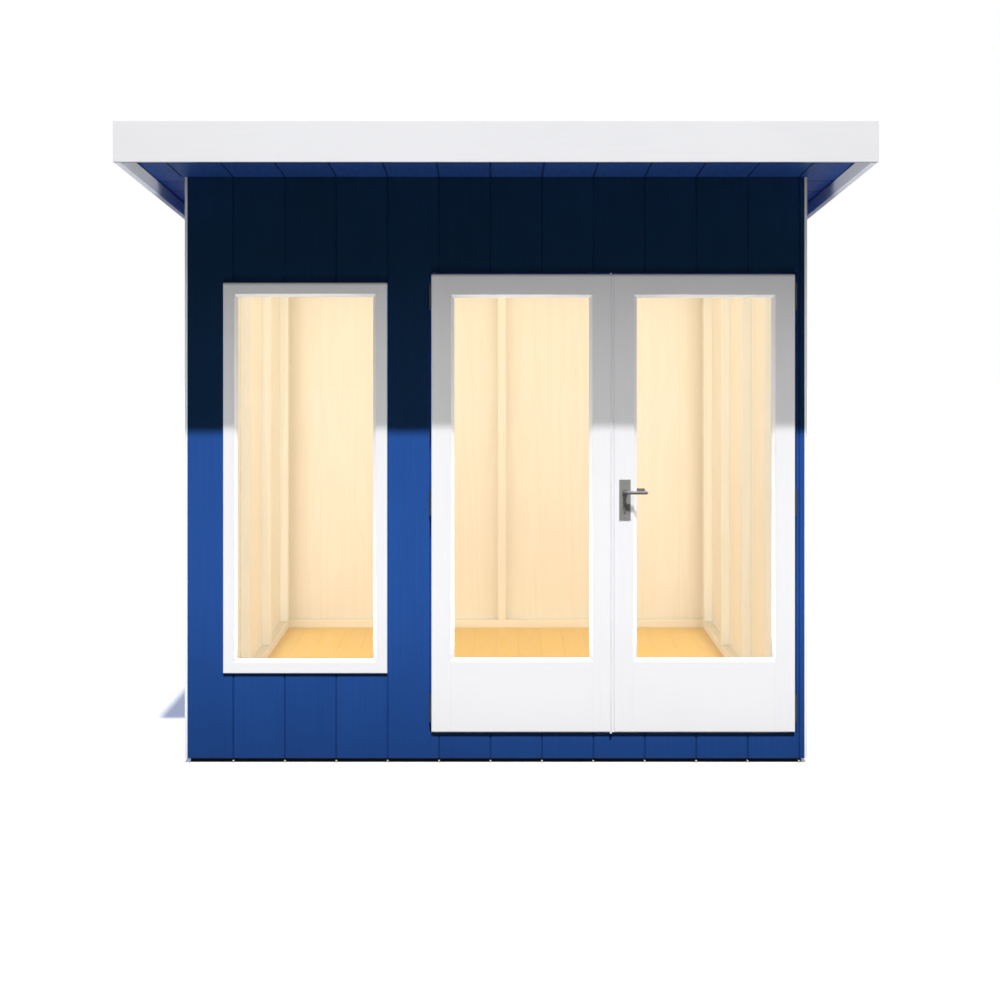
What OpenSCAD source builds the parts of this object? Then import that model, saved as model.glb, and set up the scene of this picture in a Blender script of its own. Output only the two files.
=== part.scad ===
// Garden office pod: a timber framed room with grooved cladding, a lean-to roof that falls to the back,
// one fixed window and a pair of glazed doors that open outwards.
// The origin is on the ground under the centre of the roof. The doors face -Y.

/* [Walls] */
// Width over the cladding
wall_w = 2438; // [2000:1:3000]
// Depth over the cladding, front to back
wall_d = 2438; // [2000:1:3000]
// Thickness of the cladding boards
clad_t = 11; // [9:0.5:18]
// Height of the cladding's lower edge above the ground
clad_gap = 17; // [6:1:20]
// Section of the square wall framing
stud = 44; // [38:1:60]
// Spacing of the framing in the side and back walls
stud_pitch = 610; // [400:5:650]

/* [Cladding grooves] */
// Pitch of the grooves between boards
groove_pitch = 203.2; // [150:0.1:250]
// Distance from the end of a wall to its first groove
groove_start = 181.5; // [60:0.5:190]
// Width of a groove at the face
groove_w = 7; // [4:0.5:12]
// Depth of a groove
groove_d = 4.5; // [2:0.5:6]

/* [Floor] */
// Height of the bearers under the floor
bearer_h = 32; // [25:1:75]
// Width of a bearer
bearer_w = 60; // [40:1:100]
// Number of bearers
bearers = 5; // [3:1:9]
// Thickness of the floor deck
deck_t = 12; // [9:1:22]

/* [Roof] */
// Fall of the roof to the back, in degrees
roof_pitch = 5.5; // [3:0.1:8]
// Height of the front wall over the doorway, up to the soffit
over_doors = 377; // [200:1:500]
// Overhang at the front, to the face of the fascia
front_overhang = 508; // [300:1:700]
// Overhang at each side, to the face of the fascia
side_overhang = 158; // [110:1:250]
// Overhang at the back, to the face of the fascia
rear_overhang = 120; // [80:1:250]
// How far a fascia stands above the membrane
fascia_lip = 2; // [0:0.5:20]
// Thickness of the fascia boards
fascia_t = 22; // [16:1:30]
// How far a fascia hangs below the soffit
fascia_drop = 50; // [20:1:80]
// Thickness of the soffit boards
soffit_t = 12; // [8:0.5:15]
// Height of the rafters
rafter_h = 65; // [45:1:120]
// Width of a rafter
rafter_w = 44; // [35:1:60]
// Thickness of the roof deck
roof_deck_t = 15; // [9:1:22]
// Thickness of the roof membrane
membrane_t = 3; // [1:0.5:4]

/* [Window] */
// Width of the window frame
window_w = 648; // [450:1:800]
// Height of the window frame
window_h = 1542; // [800:1:1700]
// Height of the frame's lower edge above the ground
window_z = 354; // [250:1:500]
// Distance from the left end of the wall to the frame
window_margin = 142; // [110:1:300]
// Width of the frame's face
window_face = 43; // [35:1:60]
// How far the frame stands out from the cladding
window_proud = 8.5; // [4:0.5:25]

/* [Doors] */
// Width of the wall between the window frame and the doorway
pier_w = 167; // [115:1:300]
// Height of a door leaf
leaf_h = 1807; // [1700:1:2200]
// Thickness of a door leaf
leaf_t = 40; // [36:1:44]
// Height of the leaves' lower edge above the ground
door_z = 123; // [115:1:160]
// How far the leaves stand out from the cladding
door_proud = 11.5; // [9:0.5:22]
// Gap around and between the leaves
door_gap = 7; // [6:0.5:10]
// Width of a stile's face
stile_w = 77; // [65:1:100]
// Height of the top rail
top_rail = 80; // [60:1:120]
// Height of the bottom rail
bottom_rail = 278; // [150:1:400]
// Thickness of the door lining
lining_t = 21; // [18:0.5:32]
// Width of the door stops
stop_w = 16; // [12:1:25]
// Clearance between the closed leaves and the stops
stop_clear = 5; // [5:0.5:7]
// Width of the half-round bead at the meeting of the leaves
meeting_bead_w = 8; // [5:0.5:12]
// How far that bead runs past the ends of the leaf
meeting_bead_over = 4; // [0:0.5:6]

/* [Glazing] */
// Chamfer round the outside of the leaves
edge_chamfer = 3; // [2:0.5:8]
// Chamfer round the outside of the window frame
window_chamfer = 2.5; // [1:0.5:8]
// Softened edge where the leaves meet
meeting_chamfer = 2; // [1:0.5:4]
// Width of the sloped glazing beads
bead_w = 14; // [8:0.5:20]
// Depth of a glazing bead
bead_d = 12; // [8:0.5:14]
// How far the outer bead lies behind the face
bead_back = 3; // [1:0.5:4]
// Thickness of the glass
glass_t = 6; // [4:0.5:8]
// Clearance round the glass
glass_clear = 2; // [1:0.5:4]

/* [Hinges] */
// Height of a hinge
hinge_h = 105; // [75:1:130]
// Thickness of the hinge plates
hinge_t = 2; // [1.5:0.1:2.2]
// Radius of the hinge knuckles
knuckle_r = 4; // [3.5:0.1:4.5]
// Radius of the hinge pins
pin_r = 2; // [1.5:0.1:2.5]
// Running clearance round a pin
pin_clear = 0.05; // [0.02:0.01:0.1]
// Clearance between knuckles
knuckle_clear = 0.5; // [0.3:0.1:0.8]
// Distance from a hinge axis to the cladding's face
hinge_forward = 7; // [6.5:0.1:8]
// Height of the top hinge's centre below the top of the leaf
hinge_top = 89; // [75:1:150]
// Height of the bottom hinge's centre above the foot of the leaf
hinge_bottom = 92; // [75:1:150]

/* [Handle] */
// Width of the handle plates
plate_w = 45; // [35:1:50]
// Height of a handle plate above the spindle
plate_over = 49; // [30:1:80]
// Height of a handle plate below the middle of the lock
plate_under = 51; // [30:1:80]
// Thickness of the handle plates
plate_t = 3; // [2:0.5:5]
// Height of the spindle above the foot of the leaf
spindle_z = 948; // [800:1:1050]
// Distance from the spindle to the meeting edge
spindle_inset = 42.5; // [42:0.5:48]
// Width of the square spindle
spindle_w = 8; // [6:0.5:9]
// Distance from the spindle down to the lock cylinder
lock_drop = 60; // [48:1:92]
// Reach of the lever from the spindle
lever_len = 88; // [75:1:120]
// Radius of the lever
lever_r = 6.5; // [5:0.1:7.5]
// Distance from the plate to the middle of the lever
lever_out = 31; // [26:1:45]
// Radius of the lever's bend
lever_bend = 13; // [10:0.5:16]

/* [Trims] */
// Width of the corner trims
trim_w = 70; // [40:1:100]
// Thickness of the corner trims
trim_t = 10.5; // [8:0.5:20]

/* [Hidden] */
$fn = 48;

cut = 1;
wall_blue = [0.08, 0.24, 0.52];
paint_white = [0.93, 0.93, 0.95];
timber = [0.93, 0.80, 0.58];
floor_wood = [0.90, 0.64, 0.32];
dark_timber = [0.16, 0.12, 0.09];
steel_dark = [0.20, 0.20, 0.22];
steel_satin = [0.62, 0.62, 0.63];
membrane_grey = [0.17, 0.18, 0.19];
glass_tint = [0.80, 0.88, 0.90, 0.35];

// Plan of the walls and the roof
roof_d = front_overhang + wall_d + rear_overhang;
roof_w = wall_w + 2 * side_overhang;
front_y = front_overhang - roof_d / 2;
back_y = front_y + wall_d;
wall_x = wall_w / 2;
frame_x = wall_x - clad_t;
frame_y0 = front_y + clad_t;
frame_y1 = frame_y0 + stud;
back_frame_y = back_y - clad_t - stud;
roof_x = roof_w / 2 - fascia_t;
roof_y = roof_d / 2 - fascia_t;
floor_z = bearer_h + deck_t;
plate_top = floor_z + stud;

// Heights of the doorway and of the front wall
doorway_z0 = door_z - door_gap;
doorway_z1 = door_z + leaf_h + door_gap;
soffit_front_z = doorway_z1 + over_doors;

// Heights under and over the sloping roof, with a little play between faces that meet on the slope
seat = 0.05;
fall = tan(roof_pitch);
function soffit_z(y) = soffit_front_z - (y - front_y) * fall;
function wall_top(y) = soffit_z(y) + soffit_t;
function top_plate_z(y) = wall_top(y) - stud;
rafter_low = soffit_t + seat;
rafter_high = rafter_low + rafter_h;
deck_low = rafter_high + seat;
deck_high = deck_low + roof_deck_t;
membrane_low = deck_high + seat;
membrane_high = membrane_low + membrane_t;
fascia_h = fascia_drop + membrane_high + fascia_lip;

// Window opening, set out from the left-hand corner
window_x0 = -wall_x + window_margin;
window_x1 = window_x0 + window_w;
window_mid = (window_x0 + window_x1) / 2;
window_z1 = window_z + window_h;
window_face_y = front_y - window_proud;
window_depth = window_proud + clad_t + stud;
window_open_w = window_w - 2 * window_face;
window_open_h = window_h - 2 * window_face;

// Doorway from the pier to the lining at the right-hand corner, filled by two like leaves
doorway_x0 = window_x1 + pier_w;
doorway_x1 = frame_x - lining_t;
doorway_mid = (doorway_x0 + doorway_x1) / 2;
header_z = doorway_z1 + lining_t;
left_leaf_x = doorway_x0 + door_gap;
right_leaf_x = doorway_x1 - door_gap;
leaf_w = (right_leaf_x - left_leaf_x - door_gap) / 2;
leaf_open_w = leaf_w - 2 * stile_w;
leaf_open_h = leaf_h - top_rail - bottom_rail;
door_face_y = front_y - door_proud;
stop_y = door_face_y + leaf_t + stop_clear;

// Glazing depths behind the face of a frame
glass_y = bead_back + bead_d;
inner_bead_y = glass_y + glass_t;

// Hinge axis, measured from a leaf's hinged edge and its face
axis_x = -knuckle_r - knuckle_clear;
axis_y = door_proud - hinge_forward;
knuckle_h = hinge_h / 3;
hinge_z = [hinge_bottom, (hinge_bottom + leaf_h - hinge_top) / 2, leaf_h - hinge_top];
hinge_back = 4;
hinge_leaf_y = leaf_t - hinge_back;

// Handle, measured from the right leaf's hinged edge
spindle_x = leaf_w - spindle_inset;
spindle_play = 5.5;
spindle_hole_r = spindle_w / sqrt(2) + spindle_play;
plate_z = spindle_z - lock_drop - plate_under;
plate_h = plate_over + lock_drop + plate_under;
neck_clear = 0.1;
collar_h = 6;
collar_r = lever_r + 4;
lock_r = 8.5;
lock_slot_w = 10;
lock_slot_drop = 20;
lock_out = 2;
lock_clear = 0.3;

function groove_places(low, high) =
    [for (p = [low + groove_start : groove_pitch : high - groove_w]) p];

// A block between two corners
module block(low, high) {
    translate(low)
        cube(high - low);
}

// Runs a profile drawn in Y and Z along X
module along_x(x0, x1) {
    translate([x0, 0, 0])
        rotate([90, 0, 90])
            linear_extrude(x1 - x0)
                children();
}

// An upright block that is cut to the slope of the roof
module wall_block(x0, x1, y0, y1, z0) {
    along_x(x0, x1)
        polygon([[y0, z0], [y1, z0], [y1, wall_top(y1)], [y0, wall_top(y0)]]);
}

// A slab that lies along the roof, between two heights above the soffit's underside
module roof_slab(x0, x1, y0, y1, low, high) {
    along_x(x0, x1)
        polygon([[y0, soffit_z(y0) + low], [y1, soffit_z(y1) + low],
            [y1, soffit_z(y1) + high], [y0, soffit_z(y0) + high]]);
}

// Local frame of the soffit's underside: y runs down the slope from the front wall
module on_soffit() {
    translate([0, front_y, soffit_front_z])
        rotate([-roof_pitch, 0, 0])
            children();
}

// A groove's triangle, with its mouth on the line y = 0
module groove_profile() {
    reach = groove_w / 2 * (1 + cut / groove_d);
    polygon([[-reach, -cut], [reach, -cut], [0, groove_d]]);
}

// Upright grooves in a wall that faces -Y
module upright_grooves(low, high) {
    for (p = groove_places(low, high))
        translate([p, 0, -cut])
            linear_extrude(soffit_front_z + fascia_h)
                groove_profile();
}

module front_grooves() {
    translate([0, front_y, 0])
        upright_grooves(-wall_x, wall_x);
}

module front_cladding(x0, x1, z0) {
    wall_block(x0, x1, front_y, frame_y0, z0);
}

module floor_bearers() {
    run = back_y - clad_t - frame_y0 - bearer_w;
    color(dark_timber)
        for (i = [0 : bearers - 1])
            translate([-frame_x, frame_y0 + i * run / (bearers - 1), 0])
                cube([2 * frame_x, bearer_w, bearer_h]);
}

module floor_deck() {
    color(floor_wood)
        block([-frame_x, frame_y0, bearer_h], [frame_x, back_y - clad_t, floor_z]);
}

module front_wall_left() {
    color(wall_blue)
        difference() {
            front_cladding(-wall_x, doorway_x0, clad_gap);
            block([window_x0, front_y - cut, window_z], [window_x1, frame_y0 + cut, window_z1]);
            front_grooves();
        }
}

module front_wall_right() {
    color(wall_blue)
        difference() {
            front_cladding(doorway_x1, wall_x, clad_gap);
            front_grooves();
        }
}

module front_wall_over_doors() {
    color(wall_blue)
        difference() {
            front_cladding(doorway_x0, doorway_x1, doorway_z1);
            front_grooves();
        }
}

module front_wall_under_doors() {
    color(wall_blue)
        difference() {
            block([doorway_x0, front_y, clad_gap], [doorway_x1, frame_y0, doorway_z0]);
            front_grooves();
        }
}

module side_cladding() {
    difference() {
        wall_block(frame_x, wall_x, frame_y0, back_y - clad_t, clad_gap);
        translate([wall_x, 0, 0])
            rotate([0, 0, 90])
                upright_grooves(front_y, back_y);
    }
}

module left_wall() {
    color(wall_blue)
        mirror([1, 0, 0])
            side_cladding();
}

module right_wall() {
    color(wall_blue)
        side_cladding();
}

module back_wall() {
    color(wall_blue)
        difference() {
            wall_block(-wall_x, wall_x, back_y - clad_t, back_y, clad_gap);
            translate([0, back_y, 0])
                rotate([0, 0, 180])
                    upright_grooves(-wall_x, wall_x);
        }
}

// A trim board on the outside of a side wall, up to the soffit
module corner_trim(x0, y0) {
    y1 = y0 + trim_w;
    along_x(x0, x0 + trim_t)
        polygon([[y0, clad_gap], [y1, clad_gap], [y1, soffit_z(y1) - seat], [y0, soffit_z(y0) - seat]]);
}

module corner_trims() {
    color(paint_white)
        for (x = [-wall_x - trim_t, wall_x])
            for (y = [front_y, back_y - trim_w])
                corner_trim(x, y);
}

// A stud up to the underside of the sloping top plate
module wall_stud(x, y0) {
    y1 = y0 + stud;
    along_x(x, x + stud)
        polygon([[y0, plate_top], [y1, plate_top],
            [y1, top_plate_z(y1) - seat], [y0, top_plate_z(y0) - seat]]);
}

// A top plate along X, cut to the slope of the roof
module end_top_plate(y0) {
    y1 = y0 + stud;
    along_x(-frame_x, frame_x)
        polygon([[y0, top_plate_z(y0)], [y1, top_plate_z(y1)], [y1, wall_top(y1)], [y0, wall_top(y0)]]);
}

// Full studs at the corner, beside the window and beside the doorway, and short ones over and under them
module front_wall_studs() {
    full = [-frame_x, window_x0 - stud, window_x1, doorway_x0 - lining_t - stud];
    color(timber) {
        for (x = full)
            wall_stud(x, frame_y0);
        intersection() {
            wall_stud(window_mid - stud / 2, frame_y0);
            block([window_x0, front_y, 0], [window_x1, frame_y1, window_z - stud]);
        }
        intersection() {
            wall_stud(window_mid - stud / 2, frame_y0);
            block([window_x0, front_y, window_z1 + stud], [window_x1, frame_y1, soffit_front_z]);
        }
        for (x = [doorway_mid - stud / 2, frame_x - stud])
            intersection() {
                wall_stud(x, frame_y0);
                block([doorway_x0, front_y, header_z + stud], [frame_x, frame_y1, soffit_front_z]);
            }
    }
}

// Bottom and top plates, and the rails over the doorway and round the window
module front_wall_plates() {
    color(timber) {
        block([-frame_x, frame_y0, floor_z], [frame_x, frame_y1, plate_top]);
        end_top_plate(frame_y0);
        block([doorway_x0 - lining_t, frame_y0, header_z], [frame_x, frame_y1, header_z + stud]);
        block([window_x0, frame_y0, window_z - stud], [window_x1, frame_y1, window_z]);
        block([window_x0, frame_y0, window_z1], [window_x1, frame_y1, window_z1 + stud]);
    }
}

// Studs of one side wall between the end walls' frames, set out from the back
module side_studs() {
    bays = ceil((back_frame_y - frame_y1) / stud_pitch);
    places = [for (i = [0 : bays - 1]) back_frame_y - stud - i * stud_pitch];
    for (y = concat([for (p = places) if (p > frame_y1 + stud) p], [frame_y1]))
        wall_stud(frame_x - stud, y);
}

module side_wall_studs() {
    color(timber) {
        side_studs();
        mirror([1, 0, 0])
            side_studs();
    }
}

module side_plates() {
    block([frame_x - stud, frame_y1, floor_z], [frame_x, back_frame_y, plate_top]);
    along_x(frame_x - stud, frame_x)
        polygon([[frame_y1, top_plate_z(frame_y1)], [back_frame_y, top_plate_z(back_frame_y)],
            [back_frame_y, wall_top(back_frame_y)], [frame_y1, wall_top(frame_y1)]]);
}

module side_wall_plates() {
    color(timber) {
        side_plates();
        mirror([1, 0, 0])
            side_plates();
    }
}

// Studs of the back wall, set out from the left corner, with one at the right corner
module back_wall_studs() {
    last = frame_x - stud;
    places = [for (x = [-frame_x : stud_pitch : last - stud]) x];
    color(timber)
        for (x = concat([for (p = places) if (p < last - stud) p], [last]))
            wall_stud(x, back_frame_y);
}

module back_wall_plates() {
    color(timber) {
        block([-frame_x, back_frame_y, floor_z], [frame_x, back_frame_y + stud, plate_top]);
        end_top_plate(back_frame_y);
    }
}

// Jambs that carry the hinges, one against the framing and one against the right-hand corner
module door_lining() {
    color(wall_blue)
        for (x = [doorway_x0 - lining_t, doorway_x1])
            block([x, frame_y0, plate_top], [x + lining_t, frame_y1, doorway_z1]);
}

module door_head() {
    color(wall_blue)
        block([doorway_x0 - lining_t, frame_y0, doorway_z1], [frame_x, frame_y1, header_z]);
}

// Strips behind the closed leaves, at both jambs and under the head
module door_stops() {
    color(wall_blue) {
        for (x = [doorway_x0, doorway_x1 - stop_w])
            block([x, stop_y, doorway_z0], [x + stop_w, frame_y1, doorway_z1]);
        block([doorway_x0 + stop_w + cut, stop_y, doorway_z1 - stop_w],
            [doorway_x1 - stop_w - cut, frame_y1, doorway_z1]);
    }
}

module door_threshold() {
    color(wall_blue)
        block([doorway_x0, frame_y0, plate_top], [doorway_x1, frame_y1, doorway_z0]);
}

// A panel with its face on y = 0 and chamfered front edges: left, right, and top and bottom
module chamfered_panel(w, h, t, left, right, ends) {
    intersection() {
        linear_extrude(h)
            polygon([[0, t], [0, left], [left, 0], [w - right, 0], [w, right], [w, t]]);
        along_x(0, w)
            polygon([[t, 0], [ends, 0], [0, ends], [0, h - ends], [ends, h], [t, h]]);
    }
}

// One glazing bead ring: its sloped face is narrow at y = 0 and bead_w wide at the glass
module bead_ring(w, h) {
    lip = 1;
    slope = (bead_w - lip) / bead_d;
    near = lip - slope * cut;
    far = bead_w + slope * cut;
    difference() {
        cube([w, bead_d, h]);
        intersection() {
            translate([0, 0, -cut])
                linear_extrude(h + 2 * cut)
                    polygon([[near, -cut], [w - near, -cut], [w - far, bead_d + cut], [far, bead_d + cut]]);
            along_x(-cut, w + cut)
                polygon([[-cut, near], [-cut, h - near], [bead_d + cut, h - far], [bead_d + cut, far]]);
        }
    }
}

// Beads on both faces of a pane, in an opening with its corner at the origin
module glazing_beads(w, h) {
    translate([0, bead_back, 0])
        bead_ring(w, h);
    translate([0, inner_bead_y + bead_d, 0])
        mirror([0, 1, 0])
            bead_ring(w, h);
}

module pane(w, h) {
    translate([glass_clear, glass_y, glass_clear])
        cube([w - 2 * glass_clear, glass_t, h - 2 * glass_clear]);
}

// Window members, measured from the frame's lower left corner and its face
module on_window() {
    translate([window_x0, window_face_y, window_z])
        children();
}

module window_panel() {
    chamfered_panel(window_w, window_h, window_depth, window_chamfer, window_chamfer, window_chamfer);
}

module window_stiles() {
    color(paint_white)
        on_window()
            for (x = [0, window_w - window_face])
                intersection() {
                    window_panel();
                    translate([x, 0, 0])
                        cube([window_face, window_depth, window_h]);
                }
}

module window_rails() {
    color(paint_white)
        on_window()
            for (z = [0, window_h - window_face])
                intersection() {
                    window_panel();
                    translate([window_face, 0, z])
                        cube([window_open_w, window_depth, window_face]);
                }
}

module window_beads() {
    color(paint_white)
        on_window()
            translate([window_face, 0, window_face])
                glazing_beads(window_open_w, window_open_h);
}

module window_glass() {
    color(glass_tint)
        on_window()
            translate([window_face, 0, window_face])
                pane(window_open_w, window_open_h);
}

// Door leaves, drawn from the hinged edge; the right leaf is the mirror of the left one
module on_left_leaf() {
    translate([left_leaf_x, door_face_y, door_z])
        children();
}

module on_right_leaf() {
    translate([right_leaf_x, door_face_y, door_z])
        mirror([1, 0, 0])
            children();
}

module leaf_panel() {
    chamfered_panel(leaf_w, leaf_h, leaf_t, edge_chamfer, meeting_chamfer, edge_chamfer);
}

module leaf_stiles() {
    for (x = [0, leaf_w - stile_w])
        intersection() {
            leaf_panel();
            translate([x, 0, 0])
                cube([stile_w, leaf_t, leaf_h]);
        }
}

module leaf_rails() {
    intersection() {
        leaf_panel();
        translate([stile_w, 0, 0])
            cube([leaf_open_w, leaf_t, bottom_rail]);
    }
    intersection() {
        leaf_panel();
        translate([stile_w, 0, leaf_h - top_rail])
            cube([leaf_open_w, leaf_t, top_rail]);
    }
}

module in_leaf_opening() {
    translate([stile_w, 0, bottom_rail])
        children();
}

module left_door_stiles() {
    color(paint_white)
        on_left_leaf()
            leaf_stiles();
}

module left_door_rails() {
    color(paint_white)
        on_left_leaf()
            leaf_rails();
}

module left_door_beads() {
    color(paint_white)
        on_left_leaf()
            in_leaf_opening()
                glazing_beads(leaf_open_w, leaf_open_h);
}

module left_door_glass() {
    color(glass_tint)
        on_left_leaf()
            in_leaf_opening()
                pane(leaf_open_w, leaf_open_h);
}

// Profile of the lock cylinder: a round barrel over a narrow web, grown by a clearance
module lock_profile(grow) {
    circle(r = lock_r + grow);
    translate([-lock_slot_w / 2 - grow, -lock_slot_drop])
        square([lock_slot_w + 2 * grow, lock_slot_drop]);
    translate([0, -lock_slot_drop])
        circle(r = lock_slot_w / 2 + grow);
}

// Runs a profile drawn in X and Z along Y
module along_y(y0, y1) {
    translate([0, y1, 0])
        rotate([90, 0, 0])
            linear_extrude(y1 - y0)
                children();
}

module lock_bar(y0, y1, grow) {
    translate([spindle_x, 0, spindle_z - lock_drop])
        along_y(y0, y1)
            lock_profile(grow);
}

module right_door_stiles() {
    color(paint_white)
        on_right_leaf()
            difference() {
                leaf_stiles();
                translate([spindle_x, 0, spindle_z])
                    along_y(-cut, leaf_t + cut)
                        circle(r = spindle_hole_r);
                lock_bar(-cut, leaf_t + cut, lock_clear);
            }
}

module right_door_rails() {
    color(paint_white)
        on_right_leaf()
            leaf_rails();
}

module right_door_beads() {
    color(paint_white)
        on_right_leaf()
            in_leaf_opening()
                glazing_beads(leaf_open_w, leaf_open_h);
}

module right_door_glass() {
    color(glass_tint)
        on_right_leaf()
            in_leaf_opening()
                pane(leaf_open_w, leaf_open_h);
}

// Half-round bead on the face of the left leaf, beside the gap between the leaves
module meeting_bead() {
    r = meeting_bead_w / 2;
    color(paint_white)
        on_left_leaf()
            translate([leaf_w - meeting_chamfer - r, 0, -meeting_bead_over])
                intersection() {
                    cylinder(r = r, h = leaf_h + 2 * meeting_bead_over);
                    translate([-r, -r, 0])
                        cube([2 * r, r, leaf_h + 2 * meeting_bead_over]);
                }
}

// Barrel round the hinge axis, between two heights
module knuckle(z0, z1, r) {
    translate([axis_x, axis_y, z0])
        cylinder(r = r, h = z1 - z0);
}

// Part of a hinge that is fixed to the lining: a plate, the two outer knuckles and the pin
module frame_hinge() {
    plate_x = -door_gap;
    difference() {
        union() {
            translate([plate_x, axis_y, 0])
                cube([hinge_t, leaf_t - axis_y, hinge_h]);
            knuckle(0, knuckle_h, knuckle_r);
            knuckle(2 * knuckle_h, hinge_h, knuckle_r);
        }
        knuckle(knuckle_h - knuckle_clear, 2 * knuckle_h + knuckle_clear, knuckle_r + knuckle_clear);
    }
    knuckle(0, hinge_h, pin_r);
}

// Part of a hinge that is fixed to the leaf: a plate and the bored middle knuckle
module leaf_hinge() {
    difference() {
        union() {
            translate([-hinge_t, axis_y, 0])
                cube([hinge_t, hinge_leaf_y - axis_y, hinge_h]);
            knuckle(knuckle_h, 2 * knuckle_h, knuckle_r);
        }
        knuckle(-cut, knuckle_h, knuckle_r + knuckle_clear);
        knuckle(2 * knuckle_h, hinge_h + cut, knuckle_r + knuckle_clear);
        knuckle(-cut, hinge_h + cut, pin_r + pin_clear);
    }
}

module at_hinges() {
    for (z = hinge_z)
        translate([0, 0, z - hinge_h / 2])
            children();
}

module left_door_hinges() {
    color(steel_dark)
        on_left_leaf()
            at_hinges()
                leaf_hinge();
}

module right_door_hinges() {
    color(steel_dark)
        on_right_leaf()
            at_hinges()
                leaf_hinge();
}

module left_frame_hinges() {
    color(steel_dark)
        on_left_leaf()
            at_hinges()
                frame_hinge();
}

module right_frame_hinges() {
    color(steel_dark)
        on_right_leaf()
            at_hinges()
                frame_hinge();
}

// Back plates of the handle on both faces of the leaf
module handle_plates() {
    color(steel_satin)
        on_right_leaf()
            for (y = [-plate_t, leaf_t])
                difference() {
                    translate([spindle_x - plate_w / 2, y, plate_z])
                        cube([plate_w, plate_t, plate_h]);
                    translate([spindle_x, 0, spindle_z])
                        along_y(y - cut, y + plate_t + cut)
                            circle(r = lever_r + neck_clear);
                    lock_bar(y - cut, y + plate_t + cut, lock_clear);
                }
}

module lock_cylinder() {
    color(steel_satin)
        on_right_leaf()
            lock_bar(-plate_t - lock_out, leaf_t + plate_t + lock_out, 0);
}

// One lever, drawn for the outer face of the leaf: neck, collar, bend and arm with a domed end
module lever() {
    arm_y = -plate_t - lever_out;
    translate([spindle_x, 0, spindle_z]) {
        along_y(arm_y + lever_bend, 0)
            circle(r = lever_r);
        along_y(-plate_t - neck_clear - collar_h, -plate_t - neck_clear)
            circle(r = collar_r);
        translate([-lever_bend, arm_y + lever_bend, 0])
            rotate([0, 0, -90])
                rotate_extrude(angle = 90)
                    translate([lever_bend, 0])
                        circle(r = lever_r);
        translate([-lever_len + lever_r, arm_y, 0])
            rotate([0, 90, 0])
                cylinder(r = lever_r, h = lever_len - lever_r - lever_bend);
        translate([-lever_len + lever_r, arm_y, 0])
            sphere(r = lever_r);
    }
}

// Both levers on their square spindle
module lever_handle() {
    color(steel_satin)
        on_right_leaf() {
            lever();
            translate([0, leaf_t, 0])
                mirror([0, 1, 0])
                    lever();
            translate([spindle_x - spindle_w / 2, -cut, spindle_z - spindle_w / 2])
                cube([spindle_w, leaf_t + 2 * cut, spindle_w]);
        }
}

// Rafters from fascia to fascia: at the edges, over the side walls and evenly between them
module rafters() {
    edge = roof_x - rafter_w;
    over_wall = frame_x - rafter_w;
    middle = [for (i = [1 : 3]) -frame_x + i * (2 * frame_x - rafter_w) / 4];
    color(timber)
        for (x = concat([-roof_x, -frame_x], middle, [over_wall, edge]))
            roof_slab(x, x + rafter_w, -roof_y, roof_y, rafter_low, rafter_high);
}

module roof_deck() {
    color(floor_wood)
        roof_slab(-roof_x, roof_x, -roof_y, roof_y, deck_low, deck_high);
}

module roof_membrane() {
    color(membrane_grey)
        roof_slab(-roof_x, roof_x, -roof_y, roof_y, membrane_low, membrane_high);
}

// Grooves that run down the slope, in line with those of the front wall
module sloping_grooves(y0, y1) {
    for (p = groove_places(-wall_x - groove_pitch, roof_x))
        on_soffit()
            translate([p, y0, 0])
                rotate([-90, 0, 0])
                    linear_extrude(y1 - y0)
                        mirror([0, 1, 0])
                            groove_profile();
}

module front_soffit() {
    color(wall_blue)
        difference() {
            roof_slab(-roof_x, roof_x, -roof_y, front_y, 0, soffit_t);
            sloping_grooves(-front_overhang * 2, front_overhang);
        }
}

module rear_soffit() {
    color(wall_blue)
        difference() {
            roof_slab(-roof_x, roof_x, back_y, roof_y, 0, soffit_t);
            sloping_grooves(wall_d / 2, wall_d * 2);
        }
}

// Soffits beside the walls, with grooves across them
module side_soffit() {
    difference() {
        roof_slab(wall_x, roof_x, front_y, back_y, 0, soffit_t);
        on_soffit()
            for (p = groove_places(-groove_pitch / 2, wall_d))
                translate([wall_x - cut, p, 0])
                    rotate([90, 0, 90])
                        linear_extrude(side_overhang)
                            groove_profile();
    }
}

module side_soffits() {
    color(wall_blue) {
        side_soffit();
        mirror([1, 0, 0])
            side_soffit();
    }
}

// A level fascia board across the front or the back
module end_fascia(y0) {
    low = soffit_z(y0 + fascia_t / 2) - fascia_drop;
    block([-roof_w / 2, y0, low], [roof_w / 2, y0 + fascia_t, low + fascia_h]);
}

module front_fascia() {
    color(paint_white)
        end_fascia(-roof_d / 2);
}

module rear_fascia() {
    color(paint_white)
        end_fascia(roof_y);
}

module side_fascias() {
    color(paint_white)
        for (x = [-roof_w / 2, roof_x])
            roof_slab(x, x + fascia_t, -roof_y, roof_y, -fascia_drop, fascia_h - fascia_drop);
}

floor_bearers();
floor_deck();
front_wall_left();
front_wall_right();
front_wall_over_doors();
front_wall_under_doors();
left_wall();
right_wall();
back_wall();
corner_trims();
front_wall_studs();
front_wall_plates();
side_wall_studs();
side_wall_plates();
back_wall_studs();
back_wall_plates();
door_lining();
door_head();
door_stops();
door_threshold();
window_stiles();
window_rails();
window_beads();
window_glass();
left_door_stiles();
left_door_rails();
left_door_beads();
left_door_glass();
left_door_hinges();
right_door_stiles();
right_door_rails();
right_door_beads();
right_door_glass();
right_door_hinges();
meeting_bead();
handle_plates();
lock_cylinder();
lever_handle();
left_frame_hinges();
right_frame_hinges();
rafters();
roof_deck();
roof_membrane();
front_soffit();
rear_soffit();
side_soffits();
front_fascia();
rear_fascia();
side_fascias();
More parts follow.
